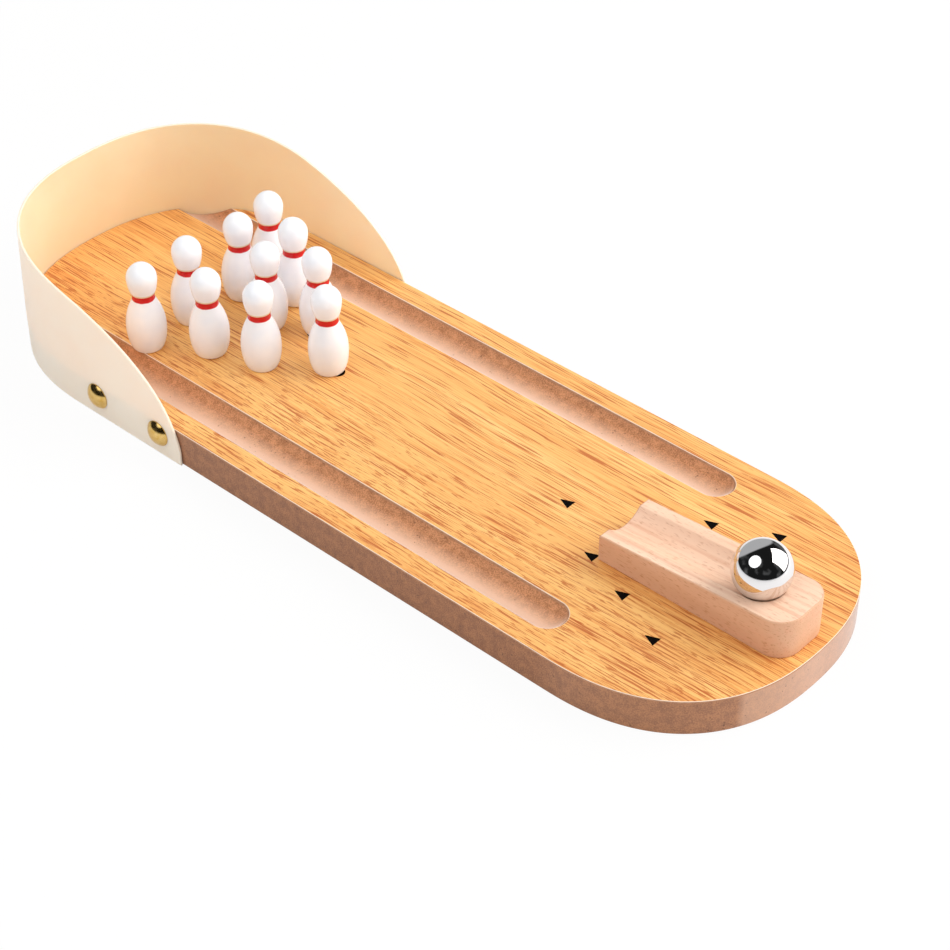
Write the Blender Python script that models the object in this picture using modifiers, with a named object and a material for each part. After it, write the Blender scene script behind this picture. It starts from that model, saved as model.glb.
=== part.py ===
"""Tabletop bowling game, modelled in Blender 4.5 in metres, +Z up.

The player sits at the -Y end and rolls a steel ball down a loose beech ramp, along the
laminated MDF lane, at ten turned pins. A bent sheet round the +Y end stops ball and pins.
The origin is on the table, under the middle of the whole game.
"""
import math

import bmesh
import bpy
import numpy as np
from mathutils import Matrix, Vector

# Clearances that pieces share
SEAT_GAP = 0.0003            # between fitted or loose pieces that touch on the real game
GLUE_LINE = 0.0001           # between the core and the laminate glued on it
CUT_OVERRUN = 0.004          # how far a cutter runs past the material it cuts

# Board: an MDF core with a printed laminate on top
BOARD_LENGTH = 0.290
BOARD_WIDTH = 0.100
BOARD_THICKNESS = 0.012
LAMINATE_THICKNESS = 0.0006
END_DEPTH = 0.052            # from where the straight sides stop to the tip of an end
END_FULLNESS = 2.34          # exponent of the rounded ends: 2 is an ellipse, more is squarer
END_STEPS = 44

# Gutters: a round-nosed groove along each side, open at the rear end of the board
GUTTER_OFFSET = 0.0367       # centre line of the lane to the middle of a gutter
GUTTER_WIDTH = 0.0121
GUTTER_DEPTH = 0.0030
GUTTER_SETBACK = 0.0566      # front end of the board to the front tip of a gutter

# Fence: a thin sheet with a curved top edge, bent round the rear end
FENCE_THICKNESS = 0.0008
FENCE_HEIGHT = 0.0452        # top edge over the table, at the middle of the sheet
FENCE_REACH = 0.1269         # along the sheet, from its middle to where its curve meets the table
FENCE_TIP_HEIGHT = 0.0030    # the sheet is cut off square where its curve is this low
FENCE_FOOT = 0.0002          # bottom edge over the table
FENCE_SHIFT = 0.0014         # along the sheet: it is tacked this much towards the -X side
FENCE_LEAN = 0.0023          # how far its top leans in at the rear end
FENCE_CREST = 2.87           # exponents of the top edge's curve: its crest, and its fall
FENCE_FALL = 2.20
FENCE_COLUMNS = 72
FENCE_ROWS = 7
PATH_STEPS = 400             # points on the paths along which the sheet's length is measured

# Tacks: brass dome heads on plain shanks
TACK_HEAD_RADIUS = 0.0042
TACK_DOME_HEIGHT = 0.0023
TACK_WALL = 0.0005
TACK_SHANK_RADIUS = 0.0006
TACK_SHANK_LENGTH = 0.0085   # rim of the head to the point
TACK_POINT_LENGTH = 0.0018
TACK_LEVEL = 0.0077          # over the table
TACK_INSETS = {"front": 0.0078, "rear": 0.0348}      # along the sheet, from its tip
TACK_STEPS = 16
TACK_DOME_STEPS = 7
TACK_INSIDE_STEPS = 3

# Pins: turned wood, as radius over height
PIN_HEIGHT = 0.0301
PIN_BASE_RADIUS = 0.0045
PIN_BELLY_RADIUS = 0.0062
PIN_NECK_RADIUS = 0.00345
PIN_HEAD_RADIUS = 0.0047
PIN_BELLY_LEVEL = 0.0080
PIN_NECK_LEVEL = 0.0187
PIN_HEAD_LEVEL = 0.0254
PIN_STEPS = 24
PIN_PITCH = 0.0194           # between the spots of two pins in one row
HEAD_SPOT_SETBACK = 0.1097   # from the rear end of the board to the head pin's spot
LANE_PRINT_OFFSET = 0.0012   # the print sits this far towards +X of the board's middle
# Each pin stands a little off its spot: its own x and y, as shares of the pitch, row by row
PIN_STRAY_SHARES = (
    ((0.02, 0.12),),
    ((-0.10, 0.11), (0.155, 0.09)),
    ((0.10, 0.10), (0.215, -0.065), (-0.01, 0.10)),
    ((0.04, 0.08), (0.0, 0.10), (0.005, -0.01), (-0.235, 0.08)),
)

# Ramp: a beech block whose top slopes down to the lane, with a groove for the ball
RAMP_LENGTH = 0.0625
RAMP_WIDTH = 0.0213
RAMP_FRONT_HEIGHT = 0.0087
RAMP_REAR_HEIGHT = 0.0128
RAMP_CORNER_RADIUS = 0.0070
RAMP_CORNER_STEPS = 8
RAMP_SETBACK = 0.0037        # from the front end of the board to the back of the ramp
RAMP_OFFSET = -0.0004        # middle of the ramp from the middle of the board
RAMP_GROOVE_WIDTH = 0.0133
RAMP_GROOVE_DEPTH = 0.0030
RAMP_GROOVE_START = 0.0158   # from the back of the ramp to the middle of the groove's round end
RAMP_EASE = 0.0003           # its sanded edges
EASE_STEPS = 2

# Ball
BALL_RADIUS = 0.0085
BALL_SEGMENTS = 28
BALL_RINGS = 18

# Cutters for the grooves and the pilot holes
GROOVE_SEGMENTS = 48
GROOVE_RINGS = 24
HOLE_STEPS = 12

MERGE_DISTANCE = 0.00001
SHARP_ANGLE = math.radians(35)

# Places worked out from the sizes above
FENCE_STANDOFF = SEAT_GAP + FENCE_THICKNESS
BOARD_MIDDLE = -FENCE_STANDOFF / 2
BOARD_FRONT = BOARD_MIDDLE - BOARD_LENGTH / 2
BOARD_REAR = BOARD_MIDDLE + BOARD_LENGTH / 2
REAR_CURVE_START = BOARD_REAR - END_DEPTH
CORE_THICKNESS = BOARD_THICKNESS - LAMINATE_THICKNESS - GLUE_LINE
ROW_SPACING = PIN_PITCH * math.sin(math.radians(60))
RAMP_FALL = RAMP_REAR_HEIGHT - RAMP_FRONT_HEIGHT
RAMP_SLOPE = math.atan2(RAMP_FALL, RAMP_LENGTH)
RAMP_REAR = BOARD_FRONT + RAMP_SETBACK
RAMP_FOOT = BOARD_THICKNESS + SEAT_GAP

PARTS_NAME = "tabletop_bowling_game"
CUTTERS_NAME = "cutters"

# Finish of each kind of piece: colour, roughness, metallic
FINISHES = {
    "mdf": ((0.42, 0.27, 0.18), 0.85, 0.0),
    "oak_laminate": ((0.82, 0.48, 0.17), 0.45, 0.0),
    "ivory_sheet": ((0.86, 0.80, 0.70), 0.50, 0.0),
    "brass": ((0.80, 0.62, 0.28), 0.22, 1.0),
    "painted_wood": ((0.90, 0.89, 0.88), 0.25, 0.0),
    "beech": ((0.82, 0.60, 0.45), 0.55, 0.0),
    "chrome_steel": ((0.75, 0.75, 0.76), 0.06, 1.0),
}


def clear_scene():
    """Remove every object, so that the script can be run again in one file."""
    for old in list(bpy.data.objects):
        bpy.data.objects.remove(old, do_unlink=True)


def new_collection(name):
    collection = bpy.data.collections.new(name)
    bpy.context.scene.collection.children.link(collection)
    return collection


def finish_material(name):
    """A Principled material for one of the finishes."""
    colour, roughness, metallic = FINISHES[name]
    material = bpy.data.materials.get(name) or bpy.data.materials.new(name)
    material.use_nodes = True
    shader = material.node_tree.nodes["Principled BSDF"]
    shader.inputs["Base Color"].default_value = (*colour, 1.0)
    shader.inputs["Roughness"].default_value = roughness
    shader.inputs["Metallic"].default_value = metallic
    return material


def mesh_from(bm, name):
    mesh = bpy.data.meshes.new(name)
    bm.to_mesh(mesh)
    bm.free()
    return mesh


def place(name, mesh, collection, finish=None, location=(0, 0, 0), rotation=(0, 0, 0)):
    """Put a mesh in a collection as an object; a cutter has no finish and stays hidden."""
    piece = bpy.data.objects.new(name, mesh)
    piece.location = location
    piece.rotation_euler = rotation
    collection.objects.link(piece)
    if finish:
        mesh.materials.clear()
        mesh.materials.append(finish_material(finish))
    else:
        piece.hide_render = True
        piece.display_type = "WIRE"
    return piece


def smooth(mesh):
    """Shade round surfaces smooth and keep real edges sharp."""
    mesh.shade_smooth()
    mesh.set_sharp_from_angle(angle=SHARP_ANGLE)


def plate_mesh(name, outline, thickness):
    """A flat plate from a closed outline, its underside at z = 0.

    The outline is a filled 2D curve with an extrude of half the thickness each way. It is
    made a mesh, because the plate is cut afterwards, and its loose caps are welded on.
    """
    curve = bpy.data.curves.new(name, "CURVE")
    curve.dimensions = "2D"
    curve.fill_mode = "BOTH"
    curve.extrude = thickness / 2
    spline = curve.splines.new("POLY")
    spline.points.add(len(outline) - 1)
    for point, (x, y) in zip(spline.points, outline):
        point.co = (x, y, 0, 1)
    spline.use_cyclic_u = True
    holder = bpy.data.objects.new(name, curve)
    bpy.context.scene.collection.objects.link(holder)
    graph = bpy.context.evaluated_depsgraph_get()
    mesh = bpy.data.meshes.new_from_object(holder.evaluated_get(graph))
    bpy.data.objects.remove(holder, do_unlink=True)
    bm = bmesh.new()
    bm.from_mesh(mesh)
    bpy.data.meshes.remove(mesh)
    bmesh.ops.remove_doubles(bm, verts=bm.verts, dist=MERGE_DISTANCE)
    bmesh.ops.translate(bm, verts=bm.verts, vec=(0, 0, thickness / 2))
    bmesh.ops.recalc_face_normals(bm, faces=bm.faces)
    return mesh_from(bm, name)


def turned(name, profile, steps, collection, finish, location=(0, 0, 0), rotation=(0, 0, 0)):
    """A turned piece: a profile of (radius, height), top to bottom, swept round its own Z."""
    bm = bmesh.new()
    points = [bm.verts.new((radius, 0, height)) for radius, height in profile]
    for start, end in zip(points, points[1:]):
        bm.edges.new((start, end))
    mesh = mesh_from(bm, name)
    piece = place(name, mesh, collection, finish, location, rotation)
    sweep = piece.modifiers.new("Turn", "SCREW")
    sweep.axis = "Z"
    sweep.angle = math.tau
    sweep.steps = steps
    sweep.render_steps = steps
    sweep.use_merge_vertices = True
    sweep.merge_threshold = MERGE_DISTANCE
    sweep.use_smooth_shade = True
    return piece


def groove_cutter(name, width, depth, length, collection, location, rotation=(0, 0, 0)):
    """A round-nosed bar that leaves a groove of this width and depth.

    A sphere is pulled apart along Y, so its front half stays round at the origin. The bar's
    radius is the one whose chord is the groove's width where its lowest point is depth below.
    """
    radius = groove_radius(width, depth)
    bm = bmesh.new()
    bmesh.ops.create_uvsphere(
        bm, u_segments=GROOVE_SEGMENTS, v_segments=GROOVE_RINGS, radius=radius,
        matrix=Matrix.Rotation(math.radians(90), 4, "X"))
    for vert in bm.verts:
        if vert.co.y > MERGE_DISTANCE:
            vert.co.y += length
    mesh = mesh_from(bm, name)
    return place(name, mesh, collection, location=location, rotation=rotation)


def groove_radius(width, depth):
    """Radius of the round tool that leaves this width at this depth."""
    return ((width / 2) ** 2 + depth ** 2) / (2 * depth)


def cut(piece, cutters):
    """Take each cutter's shape out of the piece."""
    for cutter in cutters:
        boolean = piece.modifiers.new(cutter.name, "BOOLEAN")
        boolean.operation = "DIFFERENCE"
        boolean.solver = "EXACT"
        boolean.object = cutter


def end_curve(half_width, depth, steps):
    """Rounded end of the board, from -X over the tip to +X, as a superellipse in (x, y)."""
    turns = np.linspace(-math.pi / 2, math.pi / 2, steps + 1)
    across = np.sign(np.sin(turns)) * np.abs(np.sin(turns)) ** (2 / END_FULLNESS)
    along = np.abs(np.cos(turns)) ** (2 / END_FULLNESS)
    along[0] = along[-1] = 0
    return np.column_stack([half_width * across, depth * along])


def board_outline():
    """The board seen from above: the same rounded end, mirrored at the front."""
    end = end_curve(BOARD_WIDTH / 2, END_DEPTH, END_STEPS)
    rear = end + (0, REAR_CURVE_START)
    front = end[::-1] * (1, -1) + (0, BOARD_FRONT + END_DEPTH)
    return [tuple(point) for point in np.vstack([rear, front])]


def path_round_end(half_width, depth):
    """Path of the sheet round the rear end, with the length along it from its middle."""
    end = end_curve(half_width, depth, PATH_STEPS) + (0, REAR_CURVE_START)
    start = (-half_width, REAR_CURVE_START - FENCE_REACH)
    finish = (half_width, REAR_CURVE_START - FENCE_REACH)
    path = np.vstack([start, end, finish])
    steps = np.hypot(*np.diff(path, axis=0).T)
    length = np.concatenate([[0], np.cumsum(steps)])
    return path, length - length[-1] / 2


def along_path(path, length, distance):
    return np.array([np.interp(distance, length, path[:, axis]) for axis in (0, 1)])


def fence_top(distance):
    """Height of the sheet's top edge over the table, this far along it from its middle."""
    share = min(abs(distance) / FENCE_REACH, 1.0)
    return FENCE_HEIGHT * (1 - share ** FENCE_CREST) ** (1 / FENCE_FALL)


def fence_end():
    """How far along the sheet its top edge has come down to the tip's height."""
    fallen = 1 - (FENCE_TIP_HEIGHT / FENCE_HEIGHT) ** FENCE_FALL
    return FENCE_REACH * fallen ** (1 / FENCE_CREST)


def make_board(parts, cutters):
    """MDF core and laminate, both cut by the same two gutter tools."""
    outline = board_outline()
    core = place("base_board", plate_mesh("base_board", outline, CORE_THICKNESS), parts, "mdf")
    laminate = place(
        "top_veneer", plate_mesh("top_veneer", outline, LAMINATE_THICKNESS), parts,
        "oak_laminate", location=(0, 0, CORE_THICKNESS + GLUE_LINE))
    tool_radius = groove_radius(GUTTER_WIDTH, GUTTER_DEPTH)
    tool_middle = BOARD_THICKNESS - GUTTER_DEPTH + tool_radius
    tool_start = BOARD_FRONT + GUTTER_SETBACK + GUTTER_WIDTH / 2
    gutters = []
    for side, sign in (("left", -1), ("right", 1)):
        gutters.append(groove_cutter(
            f"{side}_gutter_tool", GUTTER_WIDTH, GUTTER_DEPTH,
            BOARD_REAR - tool_start + CUT_OVERRUN, cutters,
            (sign * GUTTER_OFFSET, tool_start, tool_middle)))
    cut(core, gutters)
    cut(laminate, gutters)
    return core


def make_fence(parts):
    """The bent sheet: a flat grid, each of whose points is carried to its place round the end.

    Across the grid runs the length along the sheet, and up it the height under the curved top
    edge. Below the board's top the sheet follows the board's edge, and above it leans in.
    """
    half = BOARD_WIDTH / 2 + SEAT_GAP
    depth = END_DEPTH + SEAT_GAP
    low_path, low_length = path_round_end(half, depth)
    high_path, high_length = path_round_end(half, depth - FENCE_LEAN)
    reach = fence_end()
    bm = bmesh.new()
    bmesh.ops.create_grid(bm, x_segments=FENCE_COLUMNS, y_segments=FENCE_ROWS, size=1)
    for vert in bm.verts:
        distance = reach * math.sin(vert.co.x * math.pi / 2)
        rise = (vert.co.y + 1) / 2
        height = FENCE_FOOT + rise * (fence_top(distance) - FENCE_FOOT)
        lean = max(0, (height - BOARD_THICKNESS) / (FENCE_HEIGHT - BOARD_THICKNESS))
        low = along_path(low_path, low_length, distance - FENCE_SHIFT)
        high = along_path(high_path, high_length, distance - FENCE_SHIFT)
        vert.co = (*(low + lean * (high - low)), height)
    bmesh.ops.recalc_face_normals(bm, faces=bm.faces)
    middle = min(bm.faces, key=lambda face: abs(face.calc_center_median().x))
    if middle.normal.y < 0:
        bmesh.ops.reverse_faces(bm, faces=bm.faces)
    fence = place("back_fence", mesh_from(bm, "back_fence"), parts, "ivory_sheet")
    wall = fence.modifiers.new("Wall", "SOLIDIFY")
    wall.thickness = FENCE_THICKNESS
    wall.offset = 1
    wall.use_even_offset = True
    return fence


def cap_arc(rim_radius, rise, inner_radius, steps):
    """Section of a spherical cap, (radius, height) from an inner radius out to its rim."""
    sphere_radius = groove_radius(2 * rim_radius, rise)
    angles = np.linspace(
        math.asin(inner_radius / sphere_radius), math.asin(rim_radius / sphere_radius), steps + 1)
    middle = rise - sphere_radius
    return [(sphere_radius * math.sin(angle), middle + sphere_radius * math.cos(angle))
            for angle in angles]


def tack_profile():
    """Hollow dome head and pointed shank, (radius, height) from the crown to the point."""
    dome = cap_arc(TACK_HEAD_RADIUS, TACK_DOME_HEIGHT, 0, TACK_DOME_STEPS)
    inside = cap_arc(TACK_HEAD_RADIUS - TACK_WALL, TACK_DOME_HEIGHT - TACK_WALL,
                     TACK_SHANK_RADIUS, TACK_INSIDE_STEPS)
    shank = [(TACK_SHANK_RADIUS, TACK_POINT_LENGTH - TACK_SHANK_LENGTH), (0, -TACK_SHANK_LENGTH)]
    return dome + inside[::-1] + shank


def make_tacks(parts, cutters, core, fence):
    """Two tacks a side, driven through the sheet into pilot holes in the core."""
    profile = tack_profile()
    head_seat = BOARD_WIDTH / 2 + FENCE_STANDOFF + SEAT_GAP
    hole_radius = TACK_SHANK_RADIUS + SEAT_GAP
    hole_length = TACK_SHANK_LENGTH + SEAT_GAP + CUT_OVERRUN
    hole_middle = head_seat + CUT_OVERRUN - hole_length / 2
    path, length = path_round_end(BOARD_WIDTH / 2 + SEAT_GAP, END_DEPTH + SEAT_GAP)
    tip = along_path(path, length, fence_end())[1]
    holes = []
    for side, sign in (("left", -1), ("right", 1)):
        for row, inset in TACK_INSETS.items():
            along = tip + inset
            outwards = (0, sign * math.pi / 2, 0)
            turned(f"tack_{side}_{row}", profile, TACK_STEPS, parts, "brass",
                   (sign * head_seat, along, TACK_LEVEL), outwards)
            bm = bmesh.new()
            bmesh.ops.create_cone(
                bm, cap_ends=True, segments=HOLE_STEPS, radius1=hole_radius,
                radius2=hole_radius, depth=hole_length)
            holes.append(place(
                f"{side}_{row}_pilot_drill", mesh_from(bm, "pilot_drill"), cutters,
                location=(sign * hole_middle, along, TACK_LEVEL), rotation=outwards))
    cut(core, holes)
    cut(fence, holes)


def pin_profile():
    """Outline of a pin, (radius, height) from its crown to the middle of its base."""
    crown = PIN_HEIGHT - PIN_HEAD_LEVEL
    head = [(PIN_HEAD_RADIUS * math.sin(angle), PIN_HEAD_LEVEL + crown * math.cos(angle))
            for angle in np.linspace(0, math.pi / 2, 6)]
    throat = blend(PIN_HEAD_RADIUS, PIN_HEAD_LEVEL, PIN_NECK_RADIUS, PIN_NECK_LEVEL, 3)
    shoulder = blend(PIN_NECK_RADIUS, PIN_NECK_LEVEL, PIN_BELLY_RADIUS, PIN_BELLY_LEVEL, 5)
    flare = PIN_BELLY_RADIUS - PIN_BASE_RADIUS
    foot = [(PIN_BASE_RADIUS + flare * math.sqrt(rise), PIN_BELLY_LEVEL * rise)
            for rise in np.sin(np.linspace(math.pi / 2, 0, 5)[1:])]
    return head + throat + shoulder + foot + [(0, 0)]


def blend(radius, level, next_radius, next_level, steps):
    """An S-shaped run from one radius and level down to the next, flat at both ends."""
    run = []
    for step in range(1, steps + 1):
        share = step / steps
        ease = (1 - math.cos(share * math.pi)) / 2
        run.append((radius + ease * (next_radius - radius), level + share * (next_level - level)))
    return run


def make_pins(parts):
    """Ten pins in four rows, each turned about its own standing axis."""
    profile = pin_profile()
    number = 0
    for row, strays in enumerate(PIN_STRAY_SHARES):
        for place_in_row, (stray_x, stray_y) in enumerate(strays):
            number += 1
            across = LANE_PRINT_OFFSET + (place_in_row - row / 2 + stray_x) * PIN_PITCH
            along = BOARD_REAR - HEAD_SPOT_SETBACK + row * ROW_SPACING + stray_y * PIN_PITCH
            turned(f"pin_{number:02d}", profile, PIN_STEPS, parts, "painted_wood",
                   (across, along, BOARD_THICKNESS + SEAT_GAP))


def ramp_outline():
    """The ramp seen from above, its back at y = 0: square in front, round corners behind."""
    half = RAMP_WIDTH / 2
    corner = RAMP_CORNER_RADIUS
    outline = [(half, RAMP_LENGTH), (-half, RAMP_LENGTH)]
    for side, first in ((-1, math.pi), (1, 1.5 * math.pi)):
        for angle in np.linspace(first, first + math.pi / 2, RAMP_CORNER_STEPS + 1):
            outline.append((side * (half - corner) + corner * math.cos(angle),
                            corner + corner * math.sin(angle)))
    return outline


def make_ramp(parts, cutters):
    """The ramp turns about the middle of its foot, so its origin and the ball's parent are there."""
    pivot = Vector((RAMP_OFFSET, RAMP_REAR + RAMP_LENGTH / 2, RAMP_FOOT))
    mesh = plate_mesh("launch_ramp", ramp_outline(), RAMP_REAR_HEIGHT)
    mesh.transform(Matrix.Translation((0, -RAMP_LENGTH / 2, 0)))
    ramp = place("launch_ramp", mesh, parts, "beech", location=pivot)

    # The top slopes from its rear edge down to the front: a slab lies on that plane
    tilt = (-RAMP_SLOPE, 0, 0)
    rear_edge = Vector((0, -RAMP_LENGTH / 2, RAMP_REAR_HEIGHT))
    bm = bmesh.new()
    bmesh.ops.create_cube(bm, size=1)
    slab_length = RAMP_LENGTH + 2 * RAMP_REAR_HEIGHT
    slab_width = RAMP_WIDTH + 2 * CUT_OVERRUN
    bmesh.ops.scale(bm, verts=bm.verts, vec=(slab_width, slab_length, RAMP_REAR_HEIGHT))
    bmesh.ops.translate(bm, verts=bm.verts, vec=(0, RAMP_LENGTH / 2, RAMP_REAR_HEIGHT / 2))
    slope_tool = place("slope_tool", mesh_from(bm, "slope_tool"), cutters,
                       location=pivot + rear_edge, rotation=tilt)

    # The groove and the ball follow the slope: measured down it and out from it
    slope = Matrix.Rotation(-RAMP_SLOPE, 3, "X")
    groove_start = RAMP_GROOVE_START / math.cos(RAMP_SLOPE)
    tool_rise = groove_radius(RAMP_GROOVE_WIDTH, RAMP_GROOVE_DEPTH) - RAMP_GROOVE_DEPTH
    groove_tool = groove_cutter(
        "ramp_groove_tool", RAMP_GROOVE_WIDTH, RAMP_GROOVE_DEPTH, RAMP_LENGTH, cutters,
        pivot + rear_edge + slope @ Vector((0, groove_start, tool_rise)), tilt)
    cut(ramp, [slope_tool, groove_tool])
    ease = ramp.modifiers.new("Sanded edges", "BEVEL")
    ease.width = RAMP_EASE
    ease.segments = EASE_STEPS
    ease.limit_method = "ANGLE"
    ease.angle_limit = SHARP_ANGLE

    bm = bmesh.new()
    bmesh.ops.create_uvsphere(
        bm, u_segments=BALL_SEGMENTS, v_segments=BALL_RINGS, radius=BALL_RADIUS)
    ball_rise = BALL_RADIUS + SEAT_GAP - RAMP_GROOVE_DEPTH
    ball = place("steel_ball", mesh_from(bm, "steel_ball"), parts, "chrome_steel",
                 location=rear_edge + slope @ Vector((0, groove_start, ball_rise)))
    ball.parent = ramp
    smooth(ball.data)


def main():
    clear_scene()
    parts = new_collection(PARTS_NAME)
    cutters = new_collection(CUTTERS_NAME)
    core = make_board(parts, cutters)
    fence = make_fence(parts)
    make_tacks(parts, cutters, core, fence)
    make_pins(parts)
    make_ramp(parts, cutters)


main()
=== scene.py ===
"""Looks of a tabletop bowling game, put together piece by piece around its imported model.

Metres, +Z up: the player sits at the -Y end, and the pins stand at the +Y end.
"""

import math

import bpy
import numpy as np
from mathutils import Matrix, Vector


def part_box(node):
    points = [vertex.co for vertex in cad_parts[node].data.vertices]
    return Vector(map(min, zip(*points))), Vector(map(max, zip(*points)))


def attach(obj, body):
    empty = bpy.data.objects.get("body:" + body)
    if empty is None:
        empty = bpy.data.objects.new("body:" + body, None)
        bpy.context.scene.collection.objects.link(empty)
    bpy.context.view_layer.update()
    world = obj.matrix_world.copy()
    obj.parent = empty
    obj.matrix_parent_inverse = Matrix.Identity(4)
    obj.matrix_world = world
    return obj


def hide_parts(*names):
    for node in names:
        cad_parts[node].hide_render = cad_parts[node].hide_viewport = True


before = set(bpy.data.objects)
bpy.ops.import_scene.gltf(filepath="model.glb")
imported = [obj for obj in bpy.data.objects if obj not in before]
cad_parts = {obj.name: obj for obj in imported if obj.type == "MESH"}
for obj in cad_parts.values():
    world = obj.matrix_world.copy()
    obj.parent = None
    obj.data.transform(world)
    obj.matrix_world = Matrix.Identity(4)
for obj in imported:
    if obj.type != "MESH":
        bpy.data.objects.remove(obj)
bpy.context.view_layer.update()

# The board's core
# An 11.4 mm plate of medium-density fibreboard, sawn to a long shape with rounded ends. A
# round cutter has ploughed a gutter along each side, from a round nose out through the rear.
board_low, board_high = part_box("base_board")
BOARD_HALF = board_high.x
BOARD_TOP = 0.0120
END_DEPTH = 0.0520               # from where the straight sides stop to the tip of an end
END_FULLNESS = 2.34              # exponent of the rounded ends: 2 is an ellipse
GUTTER_MIDDLE = 0.0367           # from the middle of the board
GUTTER_WIDTH = 0.0121
GUTTER_DEPTH = 0.0030
GUTTER_TOOL = ((GUTTER_WIDTH / 2) ** 2 + GUTTER_DEPTH ** 2) / (2 * GUTTER_DEPTH)
GUTTER_AXIS = BOARD_TOP - GUTTER_DEPTH + GUTTER_TOOL
GUTTER_START = 0.0566            # from the board's front to the tip of a gutter's nose
GUTTER_NOSE = board_low.y + GUTTER_START + GUTTER_WIDTH / 2
CORE_TOP = 0.01138
CORE_EASE = 0.0003               # the radius that an edge is eased to
MDF_CLOUDS = 0.0025
MDF_FIBRES = 0.0004
MDF_FLECKS = 0.0011
MDF_RELIEF = 0.00006
MDF_PAINTED_LIGHT = "#E6BCA0"             # painted sheen on each gutter's lit wall, and painted glare on the front edge
PAINTED_SHEEN_START = 0.0020              # from a gutter's middle towards -X, where the painted sheen is strongest
PAINTED_SHEEN_END = 0.0035                # from a gutter's middle towards +X, where it has faded out
PAINTED_GLARE_START = -0.0300            # the painted glare on the front edge, places across the board
PAINTED_GLARE_END = 0.0220
GLARE_FRONT_START = -0.0900            # the painted glare comes in between these places along it
GLARE_FRONT_END = -0.1000

# How fine the board's mesh is: columns from its middle out, rows from its front to its rear
LANE_COLUMNS = 24
GUTTER_COLUMNS = 20
SIDE_COLUMNS = 23
NOSE_ROW = 28                    # the row that follows the gutters' round noses
NOSE_ROWS = 16                   # rows in the stretch just behind the nose
NOSE_RUN = 0.0040                # the length of that stretch
REAR_ROWS = 70
EASE_STEPS = 3                   # steps on the quarter circle of an eased edge
SHARP_ANGLE = math.radians(35)   # an edge that turns by more than this stays a sharp one
MITRE_LIMIT = 1.5                # how far a sharp corner may reach out when it is eased


def unit(vectors):
    """Vectors brought to length 1."""
    return vectors / np.linalg.norm(vectors, axis=-1, keepdims=True)


def closed_sheet(upper, lower, keep=None, ease=(0.0, 0.0)):
    """One closed body from its upper and lower surface, two grids of the same layout.

    Cells that keep marks get a face on both. From every border of those cells the edge turns
    down on a quarter circle, out by ease x sin a and in by ease x (1 - cos a), and likewise
    up from the lower surface, so a grid is smaller than the finished piece by its ease.
    """
    count = upper.shape[0] * upper.shape[1]
    index = np.arange(count).reshape(upper.shape[:2])
    cells = np.stack([index[:-1, :-1], index[1:, :-1], index[1:, 1:], index[:-1, 1:]], -1)
    cells = cells.reshape(-1, 4) if keep is None else cells[keep]
    edges = np.stack([cells, np.roll(cells, -1, axis=1)], -1).reshape(-1, 2)
    border = edges[~np.isin(edges @ (count, 1), edges[:, ::-1] @ (count, 1))]
    corners, ends = np.unique(border, return_inverse=True)
    ends = ends.reshape(border.shape)
    turns = np.linspace(0, math.pi / 2, EASE_STEPS + 1)[1:]
    rings = []
    for grid, size, way, angles in ((upper, ease[0], -1, turns), (lower, ease[1], 1, turns[::-1])):
        normal = unit(np.cross(np.gradient(grid, axis=0), np.gradient(grid, axis=1))).reshape(-1, 3)
        flat = grid.reshape(-1, 3)
        edge_out = unit(np.cross(flat[border[:, 1]] - flat[border[:, 0]], normal[border].sum(1)))
        out = np.zeros((len(corners), 3))
        np.add.at(out, ends[:, 0], edge_out)
        np.add.at(out, ends[:, 1], edge_out)
        total = np.linalg.norm(out, axis=1, keepdims=True)
        out *= np.minimum(2 / total, MITRE_LIMIT) / total
        if size:
            rings += [flat[corners] + size * (math.sin(angle) * out
                                              + way * (1 - math.cos(angle)) * normal[corners])
                      for angle in angles]
    points = np.concatenate([upper.reshape(-1, 3), lower.reshape(-1, 3), *rings])
    chain = [corners, *(2 * count + len(corners) * ring + np.arange(len(corners))
                        for ring in range(len(rings))), corners + count]
    wall = [np.stack([high[ends[:, 1]], high[ends[:, 0]], low[ends[:, 0]], low[ends[:, 1]]], -1)
            for high, low in zip(chain, chain[1:])]
    return points, [cells, cells[:, ::-1] + count, np.concatenate(wall)]


def new_piece(name, points, groups, materials, level_normals=True):
    """A mesh object at the origin, smooth but for its real edges, one material to each group.

    Level normals let its flat faces stay flat beside its eased edges.
    """
    corners = np.concatenate([group.ravel() for group in groups])
    used, corners = np.unique(corners, return_inverse=True)
    counts = [len(group) for group in groups]
    sizes = np.repeat([group.shape[1] for group in groups], counts)
    mesh = bpy.data.meshes.new(name)
    mesh.vertices.add(len(used))
    mesh.vertices.foreach_set("co", points[used].astype(np.float32).ravel())
    mesh.loops.add(len(corners))
    mesh.loops.foreach_set("vertex_index", corners.astype(np.int32))
    mesh.polygons.add(len(sizes))
    mesh.polygons.foreach_set("loop_start", (np.cumsum(sizes) - sizes).astype(np.int32))
    for material in dict.fromkeys(materials):
        mesh.materials.append(material)
    slots = [list(dict.fromkeys(materials)).index(material) for material in materials]
    mesh.polygons.foreach_set("material_index", np.repeat(slots, counts).astype(np.int32))
    mesh.update(calc_edges=True)
    mesh.shade_smooth()
    mesh.set_sharp_from_angle(angle=SHARP_ANGLE)
    piece = bpy.data.objects.new(name, mesh)
    bpy.context.scene.collection.objects.link(piece)
    if level_normals:
        level = piece.modifiers.new("Level normals", "WEIGHTED_NORMAL")
        level.keep_sharp = True
    return piece


def gutter_half(level):
    """Half the width of a gutter's round section at this height over the table."""
    return math.sqrt(GUTTER_TOOL ** 2 - (GUTTER_AXIS - level) ** 2)


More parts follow.
